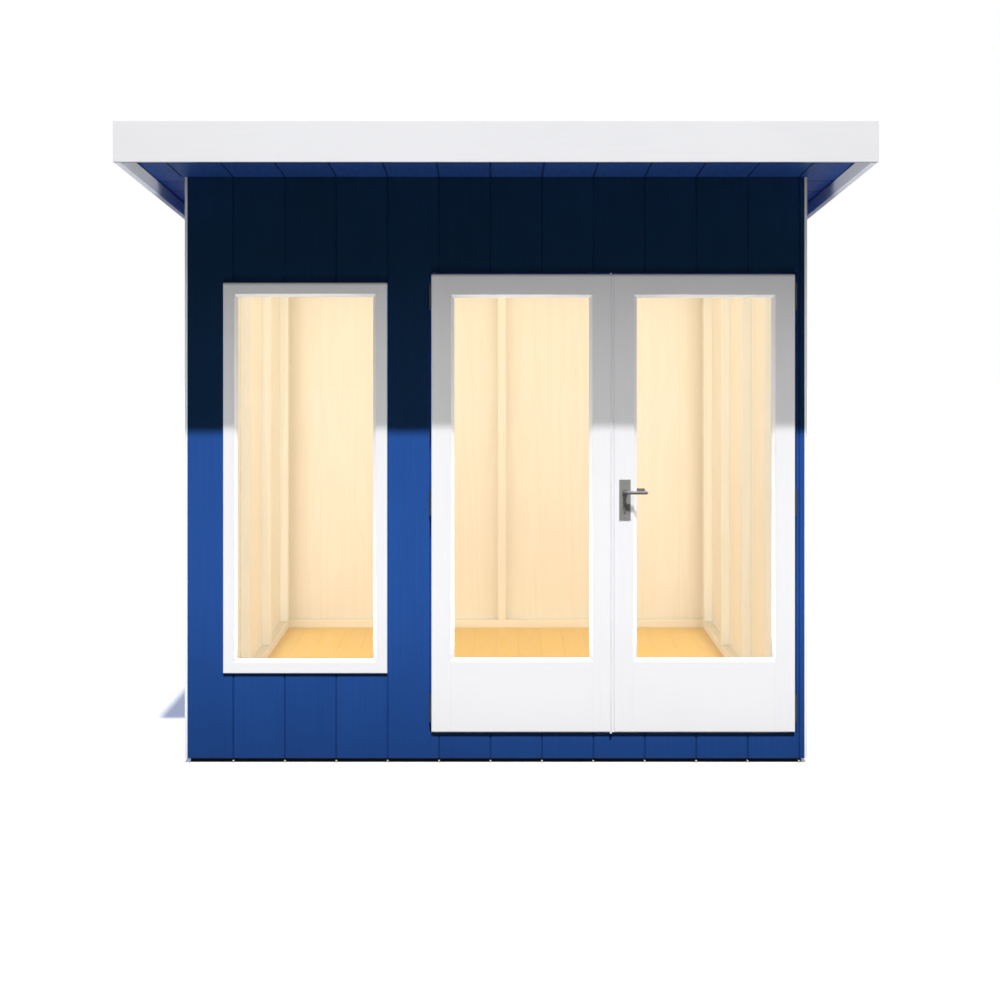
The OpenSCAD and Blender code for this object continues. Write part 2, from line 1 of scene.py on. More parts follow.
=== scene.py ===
"""Looks of the garden office pod: materials, softened edges, small fixings, roof courses, light and camera.

Everything is in metres, in the part's own frame: the doors face -Y and +Z is up.
"""
import math

import bmesh
import bpy
from mathutils import Matrix, Vector

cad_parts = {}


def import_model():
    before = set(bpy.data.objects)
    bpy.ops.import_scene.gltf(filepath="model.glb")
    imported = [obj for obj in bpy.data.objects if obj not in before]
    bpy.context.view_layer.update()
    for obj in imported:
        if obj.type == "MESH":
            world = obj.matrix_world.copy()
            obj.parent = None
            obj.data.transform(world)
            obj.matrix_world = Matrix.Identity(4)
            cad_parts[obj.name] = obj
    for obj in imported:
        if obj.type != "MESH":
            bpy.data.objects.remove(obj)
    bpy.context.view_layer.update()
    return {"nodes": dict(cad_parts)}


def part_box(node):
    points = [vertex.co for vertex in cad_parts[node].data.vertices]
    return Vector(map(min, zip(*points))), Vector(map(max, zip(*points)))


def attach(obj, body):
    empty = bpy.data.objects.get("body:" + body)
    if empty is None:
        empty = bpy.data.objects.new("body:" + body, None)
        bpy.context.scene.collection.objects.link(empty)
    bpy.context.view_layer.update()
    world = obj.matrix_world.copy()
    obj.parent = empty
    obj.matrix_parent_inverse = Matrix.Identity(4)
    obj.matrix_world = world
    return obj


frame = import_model()
nodes = frame["nodes"]
scene = bpy.context.scene
AXES = "xyz"

# Camera, as in the photograph
CAMERA_PLACE = Vector((0.0, -6.655, 1.688))
CAMERA_LENS = 51.3
CAMERA_SENSOR = 36.0
CAMERA_SHIFT = (0.00405, -0.1646)

# Directions and widths of the suns
SUN_TRAVEL = Vector((-0.1025, 1.165, -2.312))
SUN_ANGLE = math.radians(1.1)
SKY_TRAVEL = Vector((0.0, 0.64, -0.77))
SKY_ANGLE = math.radians(40)
REAR_SUN_TRAVEL = Vector((0.62, -0.62, -0.48))
REAR_SUN_ANGLE = math.radians(12)
STUD_LIGHT_TRAVEL = Vector((0.5, 0.87, 0.0))

# Power of the suns, in watts a square metre
SUN_POWER = 3.8
SKY_POWER = 0.22
JOINERY_SKY_POWER = 1.1
REAR_SUN_POWER = 1.5
STUD_LIGHT_POWER = 0.73
BACK_WALL_LIGHT_POWER = 0.27

# Power of the panels, in watts
JOINERY_FILL_POWER = 130
FASCIA_FRONT_POWER = 222
BEAD_FILL_POWER = 60
MEETING_FILL_POWER = 50
TRIM_FILL_POWER = 90
GROUND_GLOW_POWER = 36
BEAD_GLOW_POWER = 40
TRIM_LIGHT_POWER = 190
FASCIA_FILL_POWER = 44
SOFFIT_POWERS = {"front_soffit": 25.6, "side_soffits": 12, "rear_soffit": 10}
CEILING_POWER = 9.6
SIDE_PANEL_POWER = 13.2
FOOT_LIGHT_POWER = 0.55

# Colours of the light
SKY_COLOUR = (1.0, 0.95, 0.75)
COOL = (0.92, 0.94, 1.0)
WARM = (1.0, 0.96, 0.88)
ROOM_LIGHT = (1.0, 0.95, 0.91)
SIDE_LIGHT = (0.87, 0.895, 1.0)
STUD_LIGHT = (0.79, 0.88, 1.0)
BEAD_LIGHT = (1.0, 0.92, 0.77)
FOOT_LIGHT = (1.0, 0.92, 0.6)
SOFFIT_LIGHT = (1.0, 0.61, 0.475)
FASCIA_LIGHT = (0.88, 0.92, 1.0)
AMBIENT_COLOUR = (0.064, 0.057, 0.016, 1)
WHITE = (1, 1, 1, 1)

# Ground: what it throws back at the part, what the camera sees, and the glow that keeps its shadow pale
GROUND_BOUNCE = (0.036, 0.034, 0.018, 1)
GROUND_PALE = (0.66, 0.66, 0.66, 1)
GROUND_LIFT = (0.29, 0.33, 0.46, 1)
GROUND_HALF = 40.0
GROUND_Z = -0.0005

# Boards, and the brightness of the paint in their grooves, where shade is painted
BOARD_PITCH = 0.2032
FIRST_GROOVE = 0.1815
GROOVE_HALF = 0.0035
WALL_GROOVE_SHADE = 0.88
SOFFIT_GROOVE_SHADE = 0.4
FLOOR_BOARD = 0.119
DECK_BOARD = 0.144

# Softwood: scales across and along the grain, and the share of its rings in the figure
RING_SCALES = (5.0, 0.45)
FIBRE_SCALES = (260.0, 7.0)
KNOT_SCALES = (7.0, 2.2)
RING_COUNT = 55.0
RING_SHARE = 0.62
KNOT_EDGE = (0.03, 0.085)
KNOT_STRENGTH = 0.4

# Paint darker towards the ground: how far up the wall the darkening reaches, how uneven it is, and the
# brightness at the ground
LOW_DARKENING_HEIGHT = 0.64
LOW_DARKENING_WANDER = 0.16
BLUE_AT_GROUND = 0.58
WHITE_AT_GROUND = 0.92

# Painted shade along the heads of the window and the doors: its reach up the wall and down the frames, and
# its tone
WALL_HEAD_SHADE = 0.045
FRAME_HEAD_SHADE = 0.013
HEAD_SHADE_TONE = 0.45

# Painted shade on the soffits along the side fascias, a dark line: where it fades out, and its tone
SOFFIT_EDGE_SHADE_REACH = (0.004, 0.012)
SOFFIT_EDGE_SHADE_TONE = 0.2

# Colours, linear
BLUE = (0.033, 0.134, 0.55, 1)
BLUE_DEEP = (0.029, 0.122, 0.515, 1)
WHITE_PAINT = (0.805, 0.805, 0.84, 1)
WHITE_PAINT_WORN = (0.78, 0.78, 0.815, 1)
PINE_LIGHT = (0.82, 0.745, 0.58, 1)
PINE_DARK = (0.80, 0.715, 0.545, 1)
PINE_KNOT = (0.74, 0.62, 0.43, 1)
FLOOR_LIGHT = (0.80, 0.525, 0.122, 1)
FLOOR_DARK = (0.78, 0.50, 0.111, 1)
FLOOR_KNOT = (0.60, 0.34, 0.07, 1)
BEARER_LIGHT = (0.034, 0.022, 0.014, 1)
BEARER_DARK = (0.018, 0.012, 0.008, 1)
BEARER_KNOT = (0.010, 0.007, 0.005, 1)
HINGE_STEEL = (0.045, 0.05, 0.06, 1)
HANDLE_STEEL = (0.36, 0.36, 0.36, 1)
LEVER_STEEL = (0.19, 0.19, 0.185, 1)
FELT = (0.055, 0.057, 0.06, 1)
FELT_CHIP = (0.13, 0.135, 0.14, 1)

# Planes of the walls and boxes of the openings, read from the frame
front_low, front_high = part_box("front_wall_left")
back_low, back_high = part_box("back_wall")
wall_x = back_high.x
front_y = front_low.y
room_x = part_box("right_wall")[0].x
soffit_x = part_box("side_soffits")[1].x
room_y = (front_high.y, back_low.y)
window_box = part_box("window_stiles")
doors_box = (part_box("left_door_stiles")[0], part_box("right_door_stiles")[1])


class Shader:
    """One material's node tree, built with short calls."""

    def __init__(self, name):
        self.material = bpy.data.materials.new(name)
        self.material.use_nodes = True
        self.tree = self.material.node_tree
        self.surface = self.tree.nodes["Principled BSDF"]
        self.place = self.add("TexCoord").node.outputs["Object"]
        self.parts = self.add("SeparateXYZ", self.place).node.outputs

    def put(self, socket, value):
        if isinstance(value, bpy.types.NodeSocket):
            self.tree.links.new(value, socket)
        elif value is not None:
            socket.default_value = value

    def add(self, kind, *values, **settings):
        """Adds a node, fills its inputs in order and returns its first output."""
        node = self.tree.nodes.new("ShaderNode" + kind)
        for key, value in settings.items():
            setattr(node, key, value)
        for socket, value in zip(node.inputs, values):
            self.put(socket, value)
        return node.outputs[0]

    def finish(self, **inputs):
        """Fills the surface shader's inputs by name, with spaces written as underscores."""
        for key, value in inputs.items():
            self.put(self.surface.inputs[key.replace("_", " ")], value)
        return self.material

    def math(self, operation, a, b=None, c=None):
        return self.add("Math", a, b, c, operation=operation)

    def scaled(self, vector, scale):
        return self.add("VectorMath", vector, scale, operation="MULTIPLY")

    def moved(self, vector, step):
        return self.add("VectorMath", vector, step, operation="ADD")

    def noise(self, vector, scale, detail=3.0, roughness=0.55):
        return self.add("TexNoise", vector, None, scale, detail, roughness)

    def ramp(self, value, low, high, start=0.0, end=1.0):
        """Maps low..high smoothly to start..end, and holds it outside."""
        return self.add("MapRange", value, low, high, start, end, interpolation_type="SMOOTHSTEP")

    def mix(self, factor, a, b, blend="MIX"):
        node = self.add("Mix", data_type="RGBA", blend_type=blend).node
        for index, value in ((0, factor), (6, a), (7, b)):
            self.put(node.inputs[index], value)
        return node.outputs[2]

    def bump(self, height, strength, distance):
        node = self.add("Bump").node
        for key, value in (("Strength", strength), ("Distance", distance), ("Height", height)):
            self.put(node.inputs[key], value)
        return node.outputs[0]

    def along(self, axis, fine, coarse):
        """Coordinates that vary slowly along one axis and quickly across it."""
        return self.scaled(self.place, tuple(coarse if name == axis else fine for name in AXES))

    def board(self, axis, first, pitch):
        """A number for each board across an axis, and the distance from the nearest joint."""
        ratio = self.math("DIVIDE", self.math("SUBTRACT", self.parts[AXES.index(axis)], first), pitch)
        number = self.math("FLOOR", ratio)
        from_joint = self.math("PINGPONG", ratio, 0.5)
        return number, self.math("MULTIPLY", from_joint, pitch)

    def shade_by(self, number, spread):
        """A brightness that differs a little from board to board."""
        chance = self.add("TexWhiteNoise", None, number, noise_dimensions="1D")
        return self.ramp(chance, 0, 1, 1 - spread, 1 + spread)

    def dimmed(self, colour, brightness):
        return self.scaled(colour, brightness)


def pine(s, axis, light, dark, knots, shift=None):
    """Colour and height of planed softwood, with its grain along one axis."""
    place = s.along(axis, *RING_SCALES)
    if shift is not None:
        place = s.moved(place, shift)
    rings = s.math("SINE", s.math("MULTIPLY", s.noise(place, 1.0, 2.0, 0.45), RING_COUNT))
    fibre = s.noise(s.along(axis, *FIBRE_SCALES), 1.0, 2.0)
    figure = s.math("ADD", s.ramp(rings, -1, 1, 0, RING_SHARE), s.math("MULTIPLY", fibre, 1 - RING_SHARE))
    spots = s.add("TexVoronoi", s.along(axis, *KNOT_SCALES), None, 1.0)
    knot = s.ramp(spots, *KNOT_EDGE, KNOT_STRENGTH, 0.0)
    return s.mix(knot, s.mix(figure, light, dark), knots), figure


def timber(name, axis):
    """Bare framing timber; each stud has its own figure and tone."""
    s = Shader(name)
    island = s.add("NewGeometry").node.outputs["Random Per Island"]
    colour, figure = pine(s, axis, PINE_LIGHT, PINE_DARK, PINE_KNOT, s.math("MULTIPLY", island, 40.0))
    colour = s.dimmed(colour, s.ramp(island, 0, 1, 0.97, 1.02))
    return s.finish(Base_Color=colour, Roughness=s.ramp(figure, 0, 1, 0.72, 0.6),
                    Specular_IOR_Level=0.2, Normal=s.bump(figure, 0.25, 0.0006))


def boards(name, axis, grain, pitch, light, dark, knots, first=0.0):
    """Tongued and grooved boards side by side along one axis, with their grain along another."""
    s = Shader(name)
    number, joint = s.board(axis, first, pitch)
    colour, figure = pine(s, grain, light, dark, knots, s.math("MULTIPLY", number, 3.7))
    open_joint = s.ramp(joint, 0.0006, 0.0022)
    colour = s.dimmed(colour, s.shade_by(number, 0.012))
    colour = s.dimmed(colour, s.ramp(joint, 0.0004, 0.0015, 0.82, 1.0))
    height = s.math("ADD", s.math("MULTIPLY", figure, 0.15), open_joint)
    return s.finish(Base_Color=colour, Roughness=s.ramp(figure, 0, 1, 0.55, 0.42),
                    Specular_IOR_Level=0.25, Normal=s.bump(height, 0.5, 0.0012))


def cladding(name, axis, grain, first, groove_shade):
    """Blue paint outside, with the boards' grain under it, and bare boards on the faces inside the room."""
    s = Shader(name)
    number, joint = s.board(axis, first, BOARD_PITCH)
    streak = s.noise(s.along(grain, 150.0, 3.0), 1.0, 4.0, 0.6)
    patch = s.noise(s.place, 1.7, 2.0)
    wear = s.math("ADD", s.math("MULTIPLY", streak, 0.6), s.math("MULTIPLY", patch, 0.4))
    paint = s.mix(s.ramp(wear, 0.35, 0.65), BLUE_DEEP, BLUE)
    paint = s.dimmed(paint, s.shade_by(number, 0.035))
    # Painted shade in the grooves between the boards
    paint = s.dimmed(paint, s.ramp(joint, 0.3 * GROOVE_HALF, 1.8 * GROOVE_HALF, groove_shade, 1.0))
    # Darker towards the ground
    paint = s.dimmed(paint, darker_near_ground(s, BLUE_AT_GROUND))
    # Painted shade on the wall just above the heads of the window and the doors
    paint = s.dimmed(paint, head_painted_shade(s, WALL_HEAD_SHADE))
    # Painted shade: a dark line on the soffits where they meet the side fascias
    from_fascia = s.math("SUBTRACT", soffit_x, s.math("ABSOLUTE", s.parts[0]))
    paint = s.dimmed(paint, s.ramp(from_fascia, *SOFFIT_EDGE_SHADE_REACH, SOFFIT_EDGE_SHADE_TONE, 1.0))
    bare, figure = pine(s, grain, PINE_LIGHT, PINE_DARK, PINE_KNOT, s.math("MULTIPLY", number, 5.3))
    bare = s.dimmed(bare, s.shade_by(number, 0.015))
    bare = s.dimmed(bare, s.ramp(joint, 0.0006, 0.0018, 0.93, 1.0))
    inside = room_mask(s)
    colour = s.mix(inside, paint, bare)
    height = s.mix(inside, streak, figure)
    return s.finish(Base_Color=colour, Roughness=s.ramp(streak, 0.3, 0.7, 0.62, 0.5),
                    Specular_IOR_Level=0.06, Normal=s.bump(height, 0.3, 0.0005))


def darker_near_ground(s, lowest):
    """Brightness of paint, darker towards the ground and full above its reach."""
    uneven = s.math("MULTIPLY", s.math("SUBTRACT", s.noise(s.along("z", 6.0, 2.0), 1.0), 0.5), LOW_DARKENING_WANDER)
    height = s.math("ADD", s.parts[2], uneven)
    return s.add("MapRange", height, 0.0, LOW_DARKENING_HEIGHT, lowest, 1.0)


def head_painted_shade(s, reach):
    """Brightness of the front's paint along the heads of the window and the doors, where shade is painted.

    The painted shade reaches up from the heads, or down with a negative reach.
    """
    slack = 0.0005
    total = 1.0
    in_front = s.math("LESS_THAN", s.parts[1], room_y[0])
    for low, high in (window_box, doors_box):
        from_middle = s.math("ABSOLUTE", s.math("SUBTRACT", s.parts[0], (low.x + high.x) / 2))
        in_x = s.math("LESS_THAN", from_middle, (high.x - low.x) / 2 + slack)
        height = s.math("SUBTRACT", s.parts[2], high.z)
        along = s.math("DIVIDE", height, reach)
        near = s.math("GREATER_THAN", along, -slack / abs(reach))
        loss = s.math("MULTIPLY", s.ramp(along, 0, 1, 1 - HEAD_SHADE_TONE, 0), s.math("MULTIPLY", in_x, near))
        loss = s.math("MULTIPLY", loss, in_front)
        total = s.math("MULTIPLY", s.math("SUBTRACT", 1.0, loss), total)
    return total


def room_mask(s):
    """1 on the faces that line the room, 0 outside them."""
    slack = 0.0004
    in_x = s.math("LESS_THAN", s.math("ABSOLUTE", s.parts[0]), room_x + slack)
    behind_front = s.math("GREATER_THAN", s.parts[1], room_y[0] - slack)
    before_back = s.math("LESS_THAN", s.parts[1], room_y[1] + slack)
    return s.math("MULTIPLY", s.math("MULTIPLY", in_x, behind_front), before_back)


def satin_paint(name, axis, fresh, worn, at_ground):
    """Satin paint on planed timber, with faint brush marks along the member."""
    s = Shader(name)
    brush = s.noise(s.along(axis, 320.0, 5.0), 1.0, 3.0, 0.6)
    patch = s.noise(s.place, 3.0, 3.0)
    wear = s.math("ADD", s.math("MULTIPLY", brush, 0.5), s.math("MULTIPLY", patch, 0.5))
    colour = s.mix(s.ramp(wear, 0.3, 0.6), worn, fresh)
    # Darker towards the ground
    colour = s.dimmed(colour, darker_near_ground(s, at_ground))
    # Painted shade on the top edges of the window frame, the doors and their lining
    colour = s.dimmed(colour, head_painted_shade(s, -FRAME_HEAD_SHADE))
    return s.finish(Base_Color=colour, Roughness=s.ramp(brush, 0.3, 0.7, 0.5, 0.36),
                    Specular_IOR_Level=0.2, Normal=s.bump(brush, 0.12, 0.0004))


def white_paint(name, axis):
    return satin_paint(name, axis, WHITE_PAINT, WHITE_PAINT_WORN, WHITE_AT_GROUND)


def blue_paint(name, axis):
    return satin_paint(name, axis, BLUE, BLUE_DEEP, BLUE_AT_GROUND)


def dark_timber():
    """Treated timber of the floor bearers."""
    s = Shader("bearer_timber")
    colour, figure = pine(s, "x", BEARER_LIGHT, BEARER_DARK, BEARER_KNOT)
    return s.finish(Base_Color=colour, Roughness=0.8, Specular_IOR_Level=0.1,
                    Normal=s.bump(figure, 0.4, 0.001))


def metal(name, colour, axis, roughness, metallic):
    """Steel with fine brushing along one axis."""
    s = Shader(name)
    lines = s.noise(s.along(axis, 1400.0, 20.0), 1.0, 2.0)
    tone = s.dimmed(colour[:3], s.ramp(lines, 0.3, 0.7, 0.9, 1.06))
    return s.finish(Base_Color=tone, Metallic=metallic, Normal=s.bump(lines, 0.08, 0.0002),
                    Roughness=s.ramp(lines, 0.3, 0.7, roughness - 0.06, roughness + 0.06))


def felt():
    """Mineral roofing felt: bitumen with a dense cover of fine stone chips."""
    s = Shader("roofing_felt")
    chips = s.add("TexVoronoi", s.place, None, 420.0)
    cloud = s.noise(s.place, 2.2, 4.0)
    grain = s.math("ADD", s.ramp(chips, 0.1, 0.6, 0.75, 0.0), s.math("MULTIPLY", cloud, 0.25))
    colour = s.mix(grain, FELT, FELT_CHIP)
    return s.finish(Base_Color=colour, Roughness=0.88, Specular_IOR_Level=0.2,
                    Normal=s.bump(s.ramp(chips, 0.0, 0.6, 1.0, 0.0), 0.6, 0.0008))


def glass():
    """Clear float glass with the slight waviness of a real pane."""
    s = Shader("clear_glass")
    wave = s.noise(s.place, 2.5, 1.0)
    return s.finish(Base_Color=(0.985, 0.992, 0.988, 1), Roughness=0.0, IOR=1.45, Transmission_Weight=1.0,
                    Normal=s.bump(wave, 0.02, 0.0005))


MATERIALS = {
    "cladding_front": cladding("cladding_front", "x", "z", -wall_x + FIRST_GROOVE, WALL_GROOVE_SHADE),
    "cladding_back": cladding("cladding_back", "x", "z", wall_x - FIRST_GROOVE, WALL_GROOVE_SHADE),
    "cladding_side": cladding("cladding_side", "y", "z", front_y + FIRST_GROOVE, WALL_GROOVE_SHADE),
    "soffit_ends": cladding("soffit_ends", "x", "y", -wall_x + FIRST_GROOVE, SOFFIT_GROOVE_SHADE),
    "soffit_sides": cladding("soffit_sides", "y", "x", front_y + FIRST_GROOVE - BOARD_PITCH / 2,
                             SOFFIT_GROOVE_SHADE),
    "white_x": white_paint("white_paint_across", "x"),
    "white_y": white_paint("white_paint_deep", "y"),
    "white_z": white_paint("white_paint_upright", "z"),
    "blue_x": blue_paint("blue_paint_across", "x"),
    "blue_z": blue_paint("blue_paint_upright", "z"),
    "pine_x": timber("pine_across", "x"),
    "pine_y": timber("pine_deep", "y"),
    "pine_z": timber("pine_upright", "z"),
    "floor": boards("floor_boards", "x", "y", FLOOR_BOARD, FLOOR_LIGHT, FLOOR_DARK, FLOOR_KNOT),
    "deck": boards("roof_boards", "y", "x", DECK_BOARD, PINE_LIGHT, PINE_DARK, PINE_KNOT),
    "bearer": dark_timber(),
    "hinge": metal("hinge_steel", HINGE_STEEL, "z", 0.45, 0.5),
    "handle": metal("handle_steel", HANDLE_STEEL, "z", 0.4, 0.05),
    "lever": metal("lever_steel", LEVER_STEEL, "x", 0.4, 0.05),
    "felt": felt(),
    "glass": glass(),
}

# Width of the softened edges, and the nodes of the frame that each material is for
FINISH = {
    "cladding_front": (0.0008, "front_wall_left", "front_wall_right", "front_wall_over_doors",
                       "front_wall_under_doors"),
    "cladding_back": (0.0008, "back_wall"),
    "cladding_side": (0.0008, "left_wall", "right_wall"),
    "soffit_ends": (0.0006, "front_soffit", "rear_soffit"),
    "soffit_sides": (0.0006, "side_soffits"),
    "white_x": (0.0005, "front_fascia", "rear_fascia", "window_rails", "left_door_rails",
                "right_door_rails"),
    "white_y": (0.0016, "side_fascias"),
    "white_z": (0.0005, "corner_trims", "window_stiles", "window_beads", "left_door_stiles",
                "right_door_stiles", "left_door_beads", "right_door_beads", "meeting_bead"),
    "blue_x": (0.0014, "door_head", "door_threshold"),
    "blue_z": (0.0014, "door_lining", "door_stops"),
    "pine_x": (0.0020, "front_wall_plates", "back_wall_plates"),
    "pine_y": (0.0020, "side_wall_plates", "rafters"),
    "pine_z": (0.0020, "front_wall_studs", "side_wall_studs", "back_wall_studs"),
    "floor": (0.0, "floor_deck"),
    "deck": (0.0, "roof_deck"),
    "bearer": (0.0006, "floor_bearers"),
    "hinge": (0.0003, "left_door_hinges", "right_door_hinges", "left_frame_hinges", "right_frame_hinges"),
    "handle": (0.0006, "handle_plates"),
    "felt": (0.0, "roof_membrane"),
    "glass": (0.0, "window_glass", "left_door_glass", "right_door_glass"),
}
SMOOTH_STEEL = ("lever_handle", "lock_cylinder")


def soften(obj, width):
    """Rounds the sharp edges of a node a little, as planed and painted timber has them."""
    weld = obj.modifiers.new("weld", "WELD")
    weld.merge_threshold = 0.00002
    bevel = obj.modifiers.new("soft_edges", "BEVEL")
    bevel.width = width
    bevel.segments = 2
    bevel.limit_method = "ANGLE"
    bevel.angle_limit = math.radians(25)
    obj.modifiers.new("shading", "WEIGHTED_NORMAL")


def dress(name, material, width):
    """Gives a node its material and, unless the width is 0, softened edges."""
    obj = nodes[name]
    obj.material_slots[0].material = material
    if width:
        soften(obj, width)


for key, (edge, *members) in FINISH.items():
    for member in members:
        dress(member, MATERIALS[key], edge)
for member in SMOOTH_STEEL:
    dress(member, MATERIALS["lever"], 0.0)


def piece(name, mesh, body, material):
    """Makes an object of a bmesh that rides on a body of the frame."""
    data = bpy.data.meshes.new(name)
    mesh.to_mesh(data)
    mesh.free()
    data.materials.append(material)
    obj = bpy.data.objects.new(name, data)
    scene.collection.objects.link(obj)
    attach(obj, body)
    return obj


def add_ring(mesh, stand, radii, height):
    """A ring of points around an axis, one for each radius."""
    ring = []
    for i, radius in enumerate(radii):
        angle = 2 * math.pi * i / len(radii)
        point = Vector((radius * math.cos(angle), radius * math.sin(angle), height))
        ring.append(mesh.verts.new(stand @ point))
    return ring


def add_screw(mesh, place, facing, radius):
    """A countersunk head with a cross recess, a little proud of the face that it sits in."""
    sides = 20
    rise = 0.18 * radius
    head = ((0.0, 1.0), (rise, 0.82), (rise * 1.3, 0.5))
    arm = 0.42 * radius
    between_arms = 0.16 * radius
    recess_depth = 0.5 * radius
    turn = Vector((0, 0, 1)).rotation_difference(facing).to_matrix().to_4x4()
    stand = Matrix.Translation(place) @ turn
    rings = [add_ring(mesh, stand, [share * radius] * sides, height) for height, share in head]
    recess = [arm if i % (sides // 4) == 0 else between_arms for i in range(sides)]
    rings.append(add_ring(mesh, stand, recess, -recess_depth))
    for low, high in zip(rings, rings[1:]):
        for i in range(sides):
            j = (i + 1) % sides
            mesh.faces.new((low[i], low[j], high[j], high[i]))
    mesh.faces.new(rings[-1])


def handle_screws():
    """Two screws in each handle plate, on the outside and the inside of the leaf."""
    low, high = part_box("handle_plates")
    middle = (low.x + high.x) / 2
    inset = 0.010
    radius = 0.0036
    mesh = bmesh.new()
    for face_y, facing in ((low.y, Vector((0, -1, 0))), (high.y, Vector((0, 1, 0)))):
        for z in (low.z + inset, high.z - inset):
            add_screw(mesh, Vector((middle, face_y, z)), facing, radius)
    piece("handle_screws", mesh, "right_door", MATERIALS["handle"])


handle_screws()


def add_block(mesh, low, high):
    """A box between two corners."""
    corners = []
    for x in (low.x, high.x):
        for y in (low.y, high.y):
            for z in (low.z, high.z):
                corners.append(mesh.verts.new((x, y, z)))
    for face in ((0, 1, 3, 2), (4, 6, 7, 5), (0, 4, 5, 1), (2, 3, 7, 6), (0, 2, 6, 4), (1, 5, 7, 3)):
        mesh.faces.new([corners[i] for i in face])


def meeting_seal():
    """A strip on the left leaf's meeting edge, which closes the gap between the leaves."""
    low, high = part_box("left_door_stiles")
    width = 0.0065
    depth = 0.010
    set_back = 0.0004
    end_gap = 0.001
    mesh = bmesh.new()
    add_block(mesh, Vector((high.x, low.y + set_back, low.z + end_gap)),
              Vector((high.x + width, low.y + depth, high.z - end_gap)))
    piece("meeting_seal", mesh, "left_door", MATERIALS["white_z"])


meeting_seal()


def latch_plates():
    """Lock face plate and latch on the right leaf's meeting edge, and strike plate on the left leaf's."""
    spindle_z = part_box("lever_handle")[1].z - 0.011
    middle_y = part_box("right_door_stiles")[0].y + 0.024
    half = Vector((0, 0.008, 0.08))
    plate_drop = 0.035
    plate_thickness = 0.0008
    screw_step = 0.07
    screw_radius = 0.0034
    latch_half_depth = 0.005
    latch_below = 0.008
    latch_above = 0.010
    for name, body, edge_x, out, latch_reach in (
            ("lock_face_plate", "right_door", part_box("right_door_stiles")[0].x, -1, 0.0035),
            ("strike_plate", "left_door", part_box("left_door_stiles")[1].x, 1, 0.0006)):
        mesh = bmesh.new()
        middle = Vector((edge_x, middle_y, spindle_z - plate_drop))
        face_x = edge_x + out * plate_thickness
        add_block(mesh, middle - half, Vector((face_x, middle.y, middle.z)) + half)
        for step in (-screw_step, screw_step):
            add_screw(mesh, Vector((face_x, middle_y, middle.z + step)), Vector((out, 0, 0)), screw_radius)
        add_block(mesh, Vector((face_x, middle_y - latch_half_depth, spindle_z - latch_below)),
                  Vector((face_x + out * latch_reach, middle_y + latch_half_depth, spindle_z + latch_above)))
        piece(name, mesh, body, MATERIALS["handle"])


latch_plates()


def hinge_screws():
    """Three screws in each hinge plate, on the edges of the leaves and on the lining."""
    hinge_h = 0.105
    gap = 0.007
    plate = 0.002
    knuckle_radius = 0.004
    screw_radius = 0.0032
    screw_places = ((-0.036, 0.014), (0.0, 0.022), (0.036, 0.014))
    for side, out in (("left", -1), ("right", 1)):
        low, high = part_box(side + "_door_hinges")
        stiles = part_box(side + "_door_stiles")
        edge_x = stiles[0].x if out < 0 else stiles[1].x
        axis_y = low.y + knuckle_radius
        middles = (low.z + hinge_h / 2, (low.z + high.z) / 2, high.z - hinge_h / 2)
        for body, name, face_x, facing in (
                (side + "_door", side + "_door_hinge_screws", edge_x + out * plate, out),
                ("pod", side + "_frame_hinge_screws", edge_x + out * (gap - plate), -out)):
            mesh = bmesh.new()
            for middle in middles:
                for up, back in screw_places:
                    place = Vector((face_x, axis_y + back, middle + up))
                    add_screw(mesh, place, Vector((facing, 0, 0)), screw_radius)
            piece(name, mesh, body, MATERIALS["lever"])


hinge_screws()


def base_packers():
    """Pale timber packers on the ground, one under each groove of the front wall and one under each end."""
    bearer_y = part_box("floor_bearers")[0].y
    half = 0.003
    height = 0.008
    set_back = 0.001
    places = []
    x = -wall_x + FIRST_GROOVE
    while x < wall_x:
        places.append(x)
        x += BOARD_PITCH
    places += [-wall_x + 2 * half, wall_x - 2 * half]
    mesh = bmesh.new()
    for x in places:
        add_block(mesh, Vector((x - half, front_y + set_back, 0)), Vector((x + half, bearer_y, height)))
    piece("base_packers", mesh, "pod", MATERIALS["pine_y"])


base_packers()


def slope_of(name):
    """Height of a roof slab's upper face at the front edge, and how far it falls for each metre."""
    low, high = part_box(name)
    edge = 0.001
    corners = [v.co for v in nodes[name].data.vertices]
    rear_top = max(c.z for c in corners if c.y > high.y - edge)
    return high.z, (high.z - rear_top) / (high.y - low.y)


def edge_wander(x, course):
    """How far a hand-cut edge of felt strays at one place: a slow and a quick wave."""
    return 0.0022 * math.sin(7.3 * x + 2.1 * course) + 0.0012 * math.sin(19.0 * x + course)


def roof_courses():
    """Felt laid in courses across the fall, each lapping over the one below it."""
    low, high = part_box("roof_membrane")
    top, fall = slope_of("roof_membrane")
    courses = 3
    lap = 0.09
    edge_rise = 0.0026
    edge_round = 0.02
    round_rise = edge_rise * 0.92
    start_rise = 0.0003
    foot_rise = 0.0001
    inset = 0.002
    columns = 60
    width = high.x - low.x - 2 * inset
    depth = (high.y - low.y) / courses
    mesh = bmesh.new()
    for course in range(courses):
        start = low.y + course * depth + inset
        end = min(low.y + (course + 1) * depth + lap, high.y - inset)
        grid = []
        for step in range(columns + 1):
            x = low.x + inset + width * step / columns
            rim = end + (edge_wander(x, course) if course < courses - 1 else 0.0)
            profile = ((start, start_rise), (rim - edge_round, round_rise),
                       (rim, edge_rise), (rim, foot_rise))
            grid.append([mesh.verts.new((x, y, top - fall * (y - low.y) + rise)) for y, rise in profile])
        for left, right in zip(grid, grid[1:]):
            for k in range(3):
                mesh.faces.new((left[k], right[k], right[k + 1], left[k + 1]))
    piece("roof_felt_courses", mesh, "pod", MATERIALS["felt"])


roof_courses()


